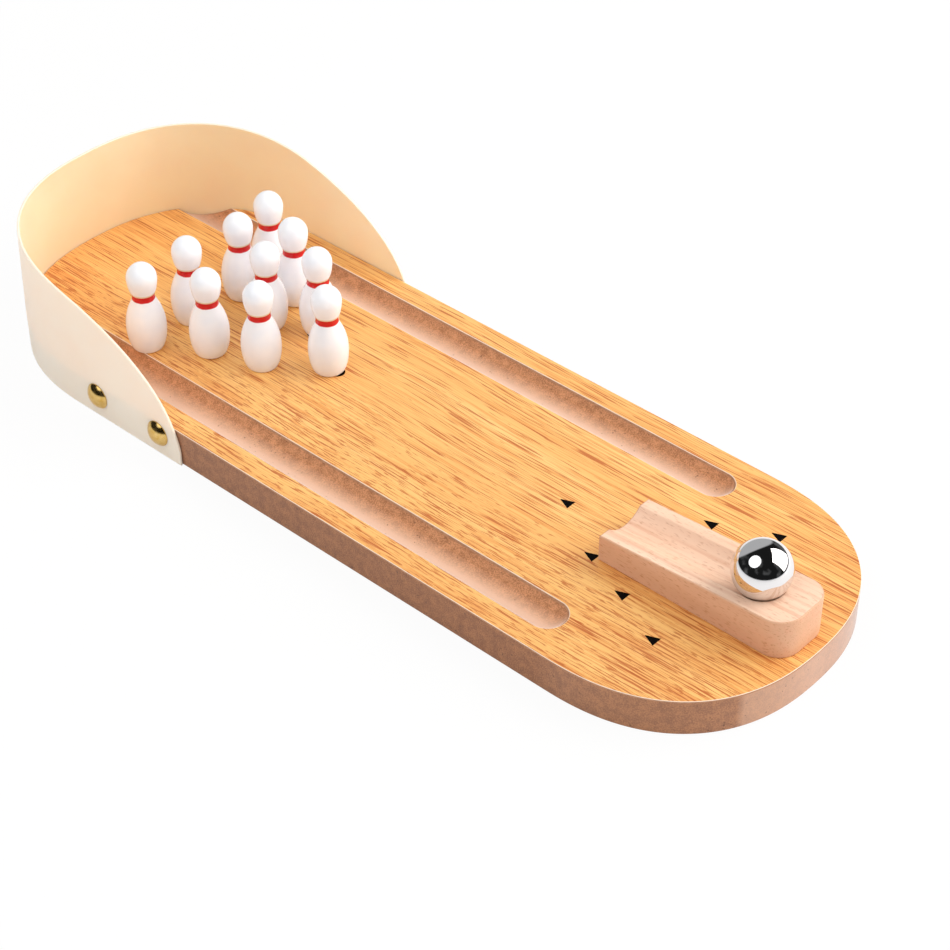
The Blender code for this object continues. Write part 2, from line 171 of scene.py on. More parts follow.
def board_grid(inset, gutter, level, ploughed=False):
    """The board's top or bottom as a grid of columns across and rows along it.

    A column's ends lie on the rounded ends, reach = depth x (1 - |x / half|^n)^(1/n). Its
    rows bunch round the gutter's nose, which is a half circle. A ploughed grid drops to the
    cutter's round section, axis - sqrt(radius^2 - distance^2), with a ball-shaped nose.
    """
    half, depth = BOARD_HALF - inset, END_DEPTH - inset
    first = math.asin(((GUTTER_MIDDLE + gutter) / half) ** (END_FULLNESS / 2))
    right = np.concatenate([
        np.linspace(0, GUTTER_MIDDLE - gutter, LANE_COLUMNS, endpoint=False),
        GUTTER_MIDDLE - gutter * np.cos(np.linspace(0, math.pi, GUTTER_COLUMNS, endpoint=False)),
        half * np.sin(np.linspace(first, math.pi / 2, SIDE_COLUMNS)) ** (2 / END_FULLNESS)])
    across = np.concatenate([-right[:0:-1], right])[:, None]
    share = np.minimum(np.abs(across) / half, 1)
    reach = depth * (1 - share ** END_FULLNESS) ** (1 / END_FULLNESS)
    front = board_low.y + END_DEPTH - reach
    rear = board_high.y - END_DEPTH + reach
    aside = np.abs(across) - GUTTER_MIDDLE
    nose = GUTTER_NOSE - np.sqrt(np.maximum(gutter ** 2 - aside ** 2, 0))
    behind = GUTTER_NOSE + NOSE_RUN
    along = np.hstack([
        front + (nose - front) * np.linspace(0, 1, NOSE_ROW, endpoint=False),
        nose + (behind - nose) * np.linspace(0, 1, NOSE_ROWS, endpoint=False),
        behind + (rear - behind) * np.linspace(0, 1, REAR_ROWS)])
    height = np.full(along.shape, level)
    if ploughed:
        distance = aside ** 2 + np.minimum(along - GUTTER_NOSE, 0) ** 2
        height = np.minimum(level, GUTTER_AXIS - np.sqrt(np.maximum(
            GUTTER_TOOL ** 2 - distance, 0)))
    return np.stack([np.broadcast_to(across, along.shape), along, height], -1)


def linear(colour):
    """An sRGB hex colour as linear light: c / 12.92 where dark, else ((c + .055) / 1.055)^2.4."""
    parts = [int(colour[place:place + 2], 16) / 255 for place in (1, 3, 5)]
    return (*(part / 12.92 if part <= 0.04045 else ((part + 0.055) / 1.055) ** 2.4
              for part in parts), 1.0)


def add(tree, kind, inputs=None, stops=None, **settings):
    """Add a node with its settings; an input is a value, or an output to link it to.

    Stops are a colour ramp's places, each with a hex colour or a grey level.
    """
    node = tree.nodes.new("ShaderNode" + kind)
    for setting, value in settings.items():
        setattr(node, setting, value)
    for socket, value in (inputs or {}).items():
        if isinstance(value, bpy.types.NodeSocket):
            tree.links.new(value, node.inputs[socket])
        else:
            node.inputs[socket].default_value = value
    for number, (place, colour) in enumerate(stops or ()):
        elements = node.color_ramp.elements
        element = elements[number] if number < 2 else elements.new(place)
        element.position = place
        element.color = linear(colour) if isinstance(colour, str) else (colour,) * 3 + (1.0,)
    return node


def new_material(name):
    """An empty material: its node tree, and the shader that everything is linked to."""
    material = bpy.data.materials.new(name)
    material.use_nodes = True
    return material, material.node_tree, material.node_tree.nodes["Principled BSDF"]


def fibreboard(name, pale, brown, speck, sanded):
    """Bare MDF: matt and open, ground wood fibre in resin, so the eye sees a fine dry mottle.

    The mottle is clouds and fibres. Real fibres are finer than 0.1 mm, and are drawn 0.4 mm
    wide so that they show. The odd bark fleck is dark. Painted light pales the -X wall of each
    gutter, a painted sheen where the softbox lights it. A sanded edge carries painted glare: a
    little paler round the front end, and clearly paler on one stretch that fades out towards +X.
    """
    material, tree, shader = new_material(name)
    place = add(tree, "TexCoord").outputs["Object"]
    clouds = add(tree, "TexNoise", {"Vector": place, "Scale": 1 / MDF_CLOUDS, "Detail": 3.0})
    fibres = add(tree, "TexNoise", {"Vector": place, "Scale": 1 / MDF_FIBRES, "Detail": 2.0})
    flecks = add(tree, "TexNoise", {"Vector": place, "Scale": 1 / MDF_FLECKS, "Detail": 1.0})
    mottle = add(tree, "Mix", {"Factor": 0.6, "A": clouds.outputs["Fac"],
                               "B": fibres.outputs["Fac"]}).outputs["Result"]
    tone = add(tree, "ValToRGB", {"Fac": mottle}, stops=((0.40, brown), (0.60, pale)))
    sides = add(tree, "SeparateXYZ", {"Vector": place})
    if sanded:
        # Painted glare: the front edge paler on one stretch, fading out towards +X
        across = add(tree, "MapRange", {"Value": sides.outputs["X"], "From Min": PAINTED_GLARE_START,
                                        "From Max": PAINTED_GLARE_END})
        painted_glare = add(tree, "ValToRGB", {"Fac": across.outputs[0]}, stops=(
            (0.05, 0.10), (0.09, 0.44), (0.58, 0.44), (1.0, 0.12)))
        front = add(tree, "MapRange", {"Value": sides.outputs["Y"], "From Min": GLARE_FRONT_START,
                                       "From Max": GLARE_FRONT_END})
        painted_light = add(tree, "Math", {0: painted_glare.outputs["Color"], 1: front.outputs[0]},
                    operation="MULTIPLY")
    else:
        # Painted sheen: each gutter's -X wall paler, where the softbox lights it
        aside = add(tree, "Math", {0: sides.outputs["X"], 1: 2 * GUTTER_MIDDLE, 2: 0.0},
                    operation="WRAP")
        painted_light = add(tree, "MapRange", {"Value": aside.outputs[0],
                                       "From Min": GUTTER_MIDDLE - PAINTED_SHEEN_START,
                                       "From Max": GUTTER_MIDDLE + PAINTED_SHEEN_END,
                                       "To Min": 0.88, "To Max": 0.02})
    # Mixes the painted light's pale colour into the tone
    tone = add(tree, "Mix", {"Factor": painted_light.outputs[0], "A": tone.outputs["Color"],
                             "B": linear(MDF_PAINTED_LIGHT)}, data_type="RGBA")
    mask = add(tree, "ValToRGB", {"Fac": flecks.outputs["Fac"]}, stops=((0.71, 0.0), (0.77, 0.7)))
    colour = add(tree, "Mix", {"Factor": mask.outputs["Color"], "A": tone.outputs["Result"],
                               "B": linear(speck)}, data_type="RGBA")
    bump = add(tree, "Bump", {"Height": fibres.outputs["Fac"], "Strength": 0.3,
                              "Distance": MDF_RELIEF})
    tree.links.new(colour.outputs["Result"], shader.inputs["Base Color"])
    tree.links.new(bump.outputs["Normal"], shader.inputs["Normal"])
    shader.inputs["Roughness"].default_value = 0.65
    shader.inputs["Sheen Weight"].default_value = 1.0
    shader.inputs["Sheen Roughness"].default_value = 0.35
    return material


mdf_routed = fibreboard("mdf_routed", "#D69464", "#A86C40", "#7A4C2E", sanded=False)
mdf_sawn = fibreboard("mdf_sawn", "#B07446", "#885230", "#5A3822", sanded=True)
core = new_piece("board_core", *closed_sheet(
    board_grid(0, gutter_half(CORE_TOP), CORE_TOP, ploughed=True),
    board_grid(CORE_EASE, gutter_half(CORE_TOP), board_low.z), ease=(0, CORE_EASE)),
    (mdf_routed, mdf_sawn, mdf_sawn))
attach(core, "board")
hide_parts("base_board")

# The laminate on its top
# A 0.6 mm sheet of decorative laminate, oak grain printed on paper under melamine resin,
# glued on the core and ploughed through with it, so its edge shows as a thin pale line.
LAMINATE_BASE = 0.0114
LAMINATE_EASE = 0.00012
DECOR_PAPER = 0.00018            # the pale line that shows along its edge
DECOR_BLUR = 0.00004
OAK_WAVER = 0.0035               # how far the grain wanders to each side
OAK_SLOW = (0.1110, 0.1250)      # the waver's own width and length
OAK_LAYERS = {"bands": (0.0091, 0.1430), "lines": (0.0004, 0.0385),      # width and length
              "pores": (0.00048, 0.0208), "flecks": (0.0005, 0.0059),
              "crowd": (0.0083, 0.0830)}
DENSER_START = -0.0850           # lines and pores grow denser between these places along it
DENSER_END = -0.1350
FLECKS_START = 0.0040            # the flecks come in between these places across it
FLECKS_END = -0.0220
KRAFT_FIBRES = 0.0011


def printed_oak():
    """Oak print under satin resin: even gloss, flat to the touch, and grain that is only ink.

    Golden bands 9 mm wide carry brown lines about 0.4 mm wide and 40 mm long, and pores that
    are darker dashes 20 mm long. Both come in crowds, and are denser towards the front end.
    Flecks 6 mm long lie on the -X side. Real pores are finer, and are drawn this coarse so
    that they show. All of it follows one slow waver along the board.
    """
    material, tree, shader = new_material("oak_print_laminate")
    place = add(tree, "TexCoord").outputs["Object"]
    slow = add(tree, "Mapping", {"Vector": place,
                                 "Scale": (1 / OAK_SLOW[0], 1 / OAK_SLOW[1], 0.0)})
    slow = add(tree, "TexNoise", {"Vector": slow.outputs[0], "Scale": 1.0, "Detail": 2.0})
    waver = add(tree, "MapRange", {"Value": slow.outputs["Fac"], "To Min": -OAK_WAVER,
                                   "To Max": OAK_WAVER})
    waver = add(tree, "CombineXYZ", {"X": waver.outputs[0]})
    grain = add(tree, "VectorMath", {0: place, 1: waver.outputs[0]}, operation="ADD").outputs[0]
    layers = {}
    for layer, (width, length) in OAK_LAYERS.items():
        drawn = add(tree, "Mapping", {"Vector": grain, "Scale": (1 / width, 1 / length, 0.0)})
        drawn = add(tree, "TexNoise", {"Vector": drawn.outputs[0], "Scale": 1.0, "Detail": 2.0})
        layers[layer] = drawn.outputs["Fac"]
    ground = add(tree, "ValToRGB", {"Fac": layers["bands"]},
                 stops=((0.30, "#F2B468"), (0.50, "#F8C072"), (0.70, "#FCCA7E")))
    sides = add(tree, "SeparateXYZ", {"Vector": place})
    front = add(tree, "MapRange", {"Value": sides.outputs["Y"],
                                   "From Min": DENSER_START, "From Max": DENSER_END,
                                   "To Max": 0.035})
    crowd = add(tree, "MapRange", {"Value": layers["crowd"], "From Min": 0.3, "From Max": 0.7,
                                   "To Min": -0.035, "To Max": 0.035})
    crowd = add(tree, "Math", {0: crowd.outputs[0], 1: front.outputs[0]}, operation="ADD")
    side = add(tree, "MapRange", {"Value": sides.outputs["X"],
                                  "From Min": FLECKS_START, "From Max": FLECKS_END,
                                  "To Min": -0.12, "To Max": 0.0})
    colour = ground.outputs["Color"]
    for layer, more, low, high, share, brown in (
            ("lines", crowd, 0.50, 0.57, 0.58, "#DE8C40"),
            ("pores", crowd, 0.57, 0.62, 0.80, "#B85820"),
            ("flecks", side, 0.57, 0.62, 0.75, "#BC6024")):
        dense = add(tree, "Math", {0: layers[layer], 1: more.outputs[0]}, operation="ADD")
        mask = add(tree, "ValToRGB", {"Fac": dense.outputs[0]}, stops=((low, 0.0), (high, share)))
        colour = add(tree, "Mix", {"Factor": mask.outputs["Color"], "A": colour,
                                   "B": linear(brown)}, data_type="RGBA").outputs["Result"]
    tree.links.new(colour, shader.inputs["Base Color"])
    shader.inputs["Roughness"].default_value = 0.42
    return material


def laminate_edge():
    """The cut edge: brown kraft paper soaked in resin, under a pale line of decor paper.

    The kraft paper's fibres are 1.1 mm long. The pale line is 0.18 mm thick.
    """
    material, tree, shader = new_material("laminate_edge")
    place = add(tree, "TexCoord").outputs["Object"]
    fibres = add(tree, "TexNoise", {"Vector": place, "Scale": 1 / KRAFT_FIBRES, "Detail": 2.0})
    kraft = add(tree, "ValToRGB", {"Fac": fibres.outputs["Fac"]},
                stops=((0.3, "#A87450"), (0.7, "#C08C66")))
    height = add(tree, "SeparateXYZ", {"Vector": place}).outputs["Z"]
    upper = add(tree, "MapRange", {"Value": height,
                                   "From Min": BOARD_TOP - DECOR_PAPER - DECOR_BLUR,
                                   "From Max": BOARD_TOP - DECOR_PAPER + DECOR_BLUR})
    colour = add(tree, "Mix", {"Factor": upper.outputs[0], "A": kraft.outputs["Color"],
                               "B": linear("#FBE6D0")}, data_type="RGBA")
    tree.links.new(colour.outputs["Result"], shader.inputs["Base Color"])
    shader.inputs["Roughness"].default_value = 0.5
    return material


laminate_upper = board_grid(LAMINATE_EASE, gutter_half(BOARD_TOP) + LAMINATE_EASE, BOARD_TOP)
laminate_lower = board_grid(0, gutter_half(LAMINATE_BASE), LAMINATE_BASE)
over_gutter = np.abs(np.abs((laminate_upper[1:, 0, 0] + laminate_upper[:-1, 0, 0]) / 2)
                     - GUTTER_MIDDLE) < GUTTER_WIDTH / 2
behind_nose = np.arange(laminate_upper.shape[1] - 1) >= NOSE_ROW
oak_top = new_piece("oak_top", *closed_sheet(
    laminate_upper, laminate_lower, keep=~(over_gutter[:, None] & behind_nose),
    ease=(LAMINATE_EASE, 0)), (printed_oak(), mdf_sawn, laminate_edge()))
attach(oak_top, "board")
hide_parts("top_veneer")

# The marks on the lane
# Black screen-print ink, a film 0.02 mm thick: seven aiming arrows round the ramp's end, and
# a round spot for each pin. The gutter's cutter has taken part of the last spot away.
INK_LOW = BOARD_TOP - 0.00001
INK_TOP = BOARD_TOP + 0.00002
ARROW_WIDTH = 0.0036
ARROW_LENGTH = 0.0040
ARROW_TIP = 0.0002
ARROWS = {"middle": (0.0017, -0.0589), "left_1": (-0.0111, -0.0785),
          "right_1": (0.0144, -0.0785), "left_2": (-0.0177, -0.0947),
          "right_2": (0.0216, -0.0947), "left_3": (-0.0259, -0.1118),
          "right_3": (0.0300, -0.1120)}
SPOT_RADIUS = 0.0024
SPOT_FLAT = 0.1                  # radians from its side to its mesh's first and last column
SPOT_COLUMNS = 33
SPOT_LINES = 4
SPOT_PITCH = 0.0194
SPOT_ROWS = (0.0017, board_high.y - 0.1080)      # where the rows of spots would meet in front
HEAD_SPOT = (0.0020, board_high.y - 0.1104)      # the front spot is printed off that place
LANE_EDGE = GUTTER_MIDDLE - GUTTER_WIDTH / 2 - LAMINATE_EASE
INK_SKIPS = 0.0004


def ink():
    """Screen-print ink: black, even and matt, a little thin where the screen skips."""
    material, tree, shader = new_material("black_print_ink")
    place = add(tree, "TexCoord").outputs["Object"]
    skip = add(tree, "TexNoise", {"Vector": place, "Scale": 1 / INK_SKIPS, "Detail": 2.0})
    tone = add(tree, "ValToRGB", {"Fac": skip.outputs["Fac"]},
               stops=((0.4, "#060505"), (0.8, "#14100E")))
    tree.links.new(tone.outputs["Color"], shader.inputs["Base Color"])
    shader.inputs["Roughness"].default_value = 0.7
    shader.inputs["Specular IOR Level"].default_value = 0.05
    return material


def turned(profile, steps):
    """Points and faces of a profile of (radius, height), crown to foot, swept round Z.

    A ring point is (radius cos a, radius sin a, height). The crown and foot are single points.
    """
    turns = np.arange(steps) * math.tau / steps
    radius, height = profile[1:-1].T
    rings = np.stack([np.outer(radius, np.cos(turns)), np.outer(radius, np.sin(turns)),
                      np.repeat(height[:, None], steps, axis=1)], -1).reshape(-1, 3)
    points = np.vstack([rings, (0, 0, profile[0, 1]), (0, 0, profile[-1, 1])])
    index = np.arange(len(rings)).reshape(-1, steps)
    following = np.roll(index, -1, axis=1)
    quads = np.stack([index[:-1], index[1:], following[1:], following[:-1]], -1).reshape(-1, 4)
    crown = np.stack([np.full(steps, len(rings)), index[0], following[0]], -1)
    foot = np.stack([np.full(steps, len(rings) + 1), following[-1], index[-1]], -1)
    return points, [quads, crown, foot]


def spot_grid(middle):
    """A round spot as columns (x, y) across it: x + r cos a, and y - r sin a to y + r sin a.

    The angles start at the -X side and stop where the lane's edge cuts the spot.
    """
    cut = min((LANE_EDGE - middle[0]) / SPOT_RADIUS, math.cos(SPOT_FLAT))
    turns = np.linspace(math.pi - SPOT_FLAT, math.acos(cut), SPOT_COLUMNS)
    along = middle[1] + np.outer(SPOT_RADIUS * np.sin(turns), (-1, 0, 1))
    across = middle[0] + SPOT_RADIUS * np.cos(turns)
    return np.stack([np.broadcast_to(across[:, None], along.shape), along], -1)


def print_mark(name, flat):
    """One ink film on the laminate, from a flat grid of (x, y)."""
    upper, lower = (np.dstack([flat, np.full(flat.shape[:2], level)])
                    for level in (INK_TOP, INK_LOW))
    mark = new_piece(name, *closed_sheet(upper, lower), (black_ink,) * 3)
    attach(mark, "board")


black_ink = ink()
flat_arrow = np.array([[(-ARROW_WIDTH / 2, 0), (-ARROW_TIP / 2, ARROW_LENGTH)],
                       [(ARROW_WIDTH / 2, 0), (ARROW_TIP / 2, ARROW_LENGTH)]])
for arrow, spot in ARROWS.items():
    print_mark(f"arrow_{arrow}", flat_arrow + spot)
spot_number = 0
for row in range(SPOT_LINES):
    for place_in_row in range(row + 1):
        spot_number += 1
        middle = (SPOT_ROWS[0] + (place_in_row - row / 2) * SPOT_PITCH,
                  SPOT_ROWS[1] + row * SPOT_PITCH * math.sin(math.radians(60)))
        print_mark(f"spot_{spot_number:02d}", spot_grid(middle if row else HEAD_SPOT))

# The fence
# A 0.8 mm plastic sheet with a curved top edge, cut flat, bent cold round the rear end and
# tacked at its tips. It is ivory on its outer face and peach on its inner one; that peach is partly
# painted warm bounce light from the orange lane.
FENCE_THICKNESS = 0.0008
FENCE_SEAT = 0.00028             # between the sheet and the board's edge
FENCE_HEIGHT = 0.0452
FENCE_REACH = 0.1269             # along the sheet, from its middle to where its curve ends
FENCE_TIP_HEIGHT = 0.0030
FENCE_FOOT = 0.0002
FENCE_SHIFT = 0.0014             # it is tacked this much towards the -X side
FENCE_LEAN = 0.0023              # how far its top leans in at the rear end
FENCE_CREST = 2.87               # exponents of the top edge's curve: its crest, and its fall
FENCE_FALL = 2.20
FENCE_EASE = 0.00022
FENCE_COLUMNS = 181
FENCE_ROWS = 33
PATH_CHORDS = 1200
SHEET_CLOUDS = 0.0170
SHEET_TEXTURE = 0.0007
SHEET_RELIEF = 0.00003


def sheet_path(half, depth, distance):
    """Points (x, y) on the path round the rear end, at these distances from its middle.

    The path is two straight sides and the superellipse |x / half|^n + |y / depth|^n = 1, and
    its length is added up over short chords.
    """
    turns = np.linspace(-math.pi / 2, math.pi / 2, PATH_CHORDS + 1)
    curve = half * np.sign(turns) * np.abs(np.sin(turns)) ** (2 / END_FULLNESS)
    end = depth * np.abs(np.cos(turns)) ** (2 / END_FULLNESS)
    end[[0, -1]] = 0
    across = np.concatenate([[-half], curve, [half]])
    along = board_high.y - END_DEPTH + np.concatenate([[-FENCE_REACH], end, [-FENCE_REACH]])
    length = np.concatenate([[0], np.cumsum(np.hypot(np.diff(across), np.diff(along)))])
    length -= length[-1] / 2
    return np.stack([np.interp(distance, length, across), np.interp(distance, length, along)], -1)


def fence_grids():
    """Inner and outer face of the sheet, columns along its length and rows up its height.

    The top edge is at height x (1 - |s / reach|^crest)^(1/fall). A point leans from the lower
    path to the upper one in step with its height over the board. The outer face is the inner
    one moved out along its normal.
    """
    fallen = 1 - (FENCE_TIP_HEIGHT / FENCE_HEIGHT) ** FENCE_FALL
    tip = FENCE_REACH * fallen ** (1 / FENCE_CREST)
    turns = np.linspace(-math.pi / 2, math.pi / 2, FENCE_COLUMNS)
    distance = (tip - FENCE_EASE) * np.sin(turns)
    share = np.abs(distance) / FENCE_REACH
    top = FENCE_HEIGHT * (1 - share ** FENCE_CREST) ** (1 / FENCE_FALL) - FENCE_EASE
    foot = FENCE_FOOT + FENCE_EASE
    height = foot + (top - foot)[:, None] * np.linspace(0, 1, FENCE_ROWS)
    lean = np.maximum(0, (height - BOARD_TOP) / (FENCE_HEIGHT - BOARD_TOP))[..., None]
    low = sheet_path(BOARD_HALF + FENCE_SEAT, END_DEPTH + FENCE_SEAT, distance - FENCE_SHIFT)
    high = sheet_path(BOARD_HALF + FENCE_SEAT, END_DEPTH + FENCE_SEAT - FENCE_LEAN,
                      distance - FENCE_SHIFT)
    flat = low[:, None] + lean * (high - low)[:, None]
    inner = np.dstack([flat, height])
    normal = unit(np.cross(np.gradient(inner, axis=0), np.gradient(inner, axis=1)))
    return inner, inner - FENCE_THICKNESS * normal


def calendered_sheet(name, colour, shade):
    """Calendered plastic sheet: satin and even, and light glows faintly through it.

    Its clouds are 17 mm wide, and its fine texture 0.7 mm.
    """
    material, tree, shader = new_material(name)
    place = add(tree, "TexCoord").outputs["Object"]
    clouds = add(tree, "TexNoise", {"Vector": place, "Scale": 1 / SHEET_CLOUDS, "Detail": 2.0})
    tone = add(tree, "ValToRGB", {"Fac": clouds.outputs["Fac"]},
               stops=((0.3, shade), (0.7, colour)))
    texture = add(tree, "TexNoise", {"Vector": place, "Scale": 1 / SHEET_TEXTURE, "Detail": 2.0})
    bump = add(tree, "Bump", {"Height": texture.outputs["Fac"], "Strength": 0.2,
                              "Distance": SHEET_RELIEF})
    tree.links.new(tone.outputs["Color"], shader.inputs["Base Color"])
    tree.links.new(bump.outputs["Normal"], shader.inputs["Normal"])
    shader.inputs["Roughness"].default_value = 0.55
    shader.inputs["Subsurface Weight"].default_value = 1.0
    shader.inputs["Subsurface Radius"].default_value = (1.0, 0.95, 0.9)
    shader.inputs["Subsurface Scale"].default_value = FENCE_THICKNESS
    return material


ivory_face = calendered_sheet("ivory_satin_plastic", "#FFE9D9", "#FFE5D3")
# The inner face: peach, partly painted warm bounce light from the orange lane
peach_and_bounce_face = calendered_sheet("peach_and_bounce_satin_plastic", "#FDE7C8", "#FCE2C1")
fence = new_piece("fence_sheet", *closed_sheet(*fence_grids(), ease=(FENCE_EASE,) * 2),
                  (peach_and_bounce_face, ivory_face, ivory_face))
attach(fence, "board")
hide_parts("back_fence")

# The tacks
# Brass-plated upholstery tacks: a thin stamped dome and a steel shank. Two on each side are
# driven through the sheet into the edge of the board.
TACK_SEAT = BOARD_HALF + FENCE_SEAT + FENCE_THICKNESS
TACK_RADIUS = 0.0042
TACK_RISE = 0.0023
TACK_RIM = 0.0003
TACK_SHANK = 0.0006              # the shank's radius
TACK_LENGTH = 0.0080
TACK_POINT = 0.0016
DOME_ROWS = 22
ROUND_STEPS = 64                 # round the tacks and the pins
BRASS_MARKS = 0.0014


def polished_brass():
    """Lacquered brass plate: yellow mirror gloss, a little dulled in marks 1.4 mm wide."""
    material, tree, shader = new_material("polished_brass")
    place = add(tree, "TexCoord").outputs["Object"]
    dull = add(tree, "TexNoise", {"Vector": place, "Scale": 1 / BRASS_MARKS, "Detail": 2.0})
    gloss = add(tree, "MapRange", {"Value": dull.outputs["Fac"], "From Min": 0.3,
                                   "From Max": 0.7, "To Min": 0.14, "To Max": 0.24})
    tone = add(tree, "ValToRGB", {"Fac": dull.outputs["Fac"]},
               stops=((0.3, "#D4AC58"), (0.7, "#E4C480")))
    tree.links.new(tone.outputs["Color"], shader.inputs["Base Color"])
    tree.links.new(gloss.outputs[0], shader.inputs["Roughness"])
    shader.inputs["Metallic"].default_value = 1.0
    return material


def tack_profile():
    """Section of a tack, crown to point: a spherical dome, its rim, flat under it, the shank.

    A dome point is (sphere sin a, rim + rise - sphere + sphere cos a), pressed down so that
    the rim and the dome together are as tall as the rise.
    """
    sphere = (TACK_RADIUS ** 2 + TACK_RISE ** 2) / (2 * TACK_RISE)
    angles = np.linspace(0, math.asin(TACK_RADIUS / sphere), DOME_ROWS)
    dome = np.stack([sphere * np.sin(angles),
                     TACK_RIM + TACK_RISE - sphere + sphere * np.cos(angles)], -1)
    dome[:, 1] *= TACK_RISE / (TACK_RISE + TACK_RIM)
    return np.vstack([dome, (TACK_RADIUS, 0), (TACK_SHANK, 0),
                      (TACK_SHANK, TACK_POINT - TACK_LENGTH), (0, -TACK_LENGTH)])


brass = polished_brass()
for side, sign in (("left", -1), ("right", 1)):
    for row in ("front", "rear"):
        low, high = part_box(f"tack_{side}_{row}")
        points, groups = turned(tack_profile(), ROUND_STEPS)
        points = np.stack([sign * (TACK_SEAT + points[:, 2]),
                           (low.y + high.y) / 2 + sign * points[:, 1],
                           (low.z + high.z) / 2 - points[:, 0]], -1)
        tack = new_piece(f"dome_tack_{side}_{row}", points, groups, (brass,) * 3,
                         level_normals=False)
        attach(tack, "board")
        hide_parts(f"tack_{side}_{row}")

# The pins
# Ten little pins turned from birch, dipped in white gloss paint, with a red ring painted
# round the neck while they spin. They stand loose, each on its spot or a little off it.
MILLIMETRE = 0.001
PIN_FOOT = BOARD_TOP + 0.00003
# Marks on its section as (radius, height over the foot) in millimetres, crown to foot
PIN_MARKS = MILLIMETRE * np.array([
    (0.0, 30.1), (1.0, 29.95), (2.4, 29.35), (3.55, 28.3), (4.35, 27.0), (4.7, 25.4), (4.62, 23.8),
    (4.38, 22.3), (4.0, 20.8), (3.6, 19.7), (3.45, 18.8), (3.52, 17.9), (4.1, 16.5), (5.05, 14.3),
    (5.85, 11.4), (6.2, 8.2), (6.05, 5.0), (5.6, 2.5), (5.1, 1.0), (4.75, 0.3), (4.35, 0.0),
    (2.0, 0.0), (0.0, 0.0)])
PIN_ROWS = 90
RING_LOW = 0.0178                # over the foot
RING_HIGH = 0.0200
CREAM_LINE = 0.0005              # between the ring and the white over it
RING_BLUR = 0.0001
RING_WAVER = 0.00015
PAINT_WAVES = 0.0020
PAINT_CLOUDS = 0.0040
PAINT_RELIEF = 0.0001


def smooth_curve(marks, steps):
    """Points on a curve through the marks, evenly spread along their chords.

    Each stretch is a cubic that leaves and meets a mark with the slope between the mark's two
    neighbours.
    """
    knots = np.concatenate([[0], np.cumsum(np.hypot(*np.diff(marks, axis=0).T))])
    slopes = np.gradient(marks, knots, axis=0)
    places = np.linspace(0, knots[-1], steps)
    low = np.clip(np.searchsorted(knots, places, side="right") - 1, 0, len(marks) - 2)
    span = (knots[low + 1] - knots[low])[:, None]
    part = (places - knots[low])[:, None] / span
    return ((2 * part ** 3 - 3 * part ** 2 + 1) * marks[low]
            + (part ** 3 - 2 * part ** 2 + part) * span * slopes[low]
            + (3 * part ** 2 - 2 * part ** 3) * marks[low + 1]
            + (part ** 3 - part ** 2) * span * slopes[low + 1])


def gloss_paint():
    """Nitro paint on wood: white, thick and glossy, with a red ring whose edge is a bit uneven.

    The ring's edge wavers by a tenth of a millimetre, and a line of thin cream paint shows
    above it. The faint ripple, 2 mm wide, is the wood under the paint.
    """
    material, tree, shader = new_material("white_gloss_paint")
    place = add(tree, "TexCoord").outputs["Object"]
    height = add(tree, "SeparateXYZ", {"Vector": place}).outputs["Z"]
    ripple = add(tree, "TexNoise", {"Vector": place, "Scale": 1 / PAINT_WAVES, "Detail": 1.0})
    waver = add(tree, "MapRange", {"Value": ripple.outputs["Fac"], "To Min": -RING_WAVER,
                                   "To Max": RING_WAVER})
    height = add(tree, "Math", {0: height, 1: waver.outputs[0]}, operation="ADD").outputs[0]
    rings = []
    for low, high in ((RING_LOW, RING_HIGH), (RING_HIGH, RING_HIGH + CREAM_LINE)):
        ring = add(tree, "MapRange", {"Value": height, "From Min": PIN_FOOT + low - RING_BLUR,
                                      "From Max": PIN_FOOT + high + RING_BLUR})
        rings.append(add(tree, "ValToRGB", {"Fac": ring.outputs[0]}, stops=(
            (0.0, 0.0), (0.1, 1.0), (0.9, 1.0), (1.0, 0.0))).outputs["Color"])
    cloud = add(tree, "TexNoise", {"Vector": place, "Scale": 1 / PAINT_CLOUDS, "Detail": 1.0})
    white = add(tree, "ValToRGB", {"Fac": cloud.outputs["Fac"]},
                stops=((0.3, "#F6F9FF"), (0.7, "#FBFCFF")))
    colour = add(tree, "Mix", {"Factor": rings[1], "A": white.outputs["Color"],
                               "B": linear("#F2E2C4")}, data_type="RGBA")
    colour = add(tree, "Mix", {"Factor": rings[0], "A": colour.outputs["Result"],
                               "B": linear("#D20F19")}, data_type="RGBA")
    bump = add(tree, "Bump", {"Height": ripple.outputs["Fac"], "Strength": 0.15,
                              "Distance": PAINT_RELIEF})
    tree.links.new(colour.outputs["Result"], shader.inputs["Base Color"])
    tree.links.new(bump.outputs["Normal"], shader.inputs["Normal"])
    shader.inputs["Roughness"].default_value = 0.22
    return material


white_paint = gloss_paint()
pin_points, pin_groups = turned(smooth_curve(PIN_MARKS, PIN_ROWS), ROUND_STEPS)
for number in range(1, 11):
    low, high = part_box(f"pin_{number:02d}")
    stand = np.array([(low.x + high.x) / 2, (low.y + high.y) / 2, PIN_FOOT])
    pin = new_piece(f"bowling_pin_{number:02d}", pin_points + stand, pin_groups,
                    (white_paint,) * 3, level_normals=False)
    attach(pin, f"pin_{number:02d}")
    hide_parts(f"pin_{number:02d}")

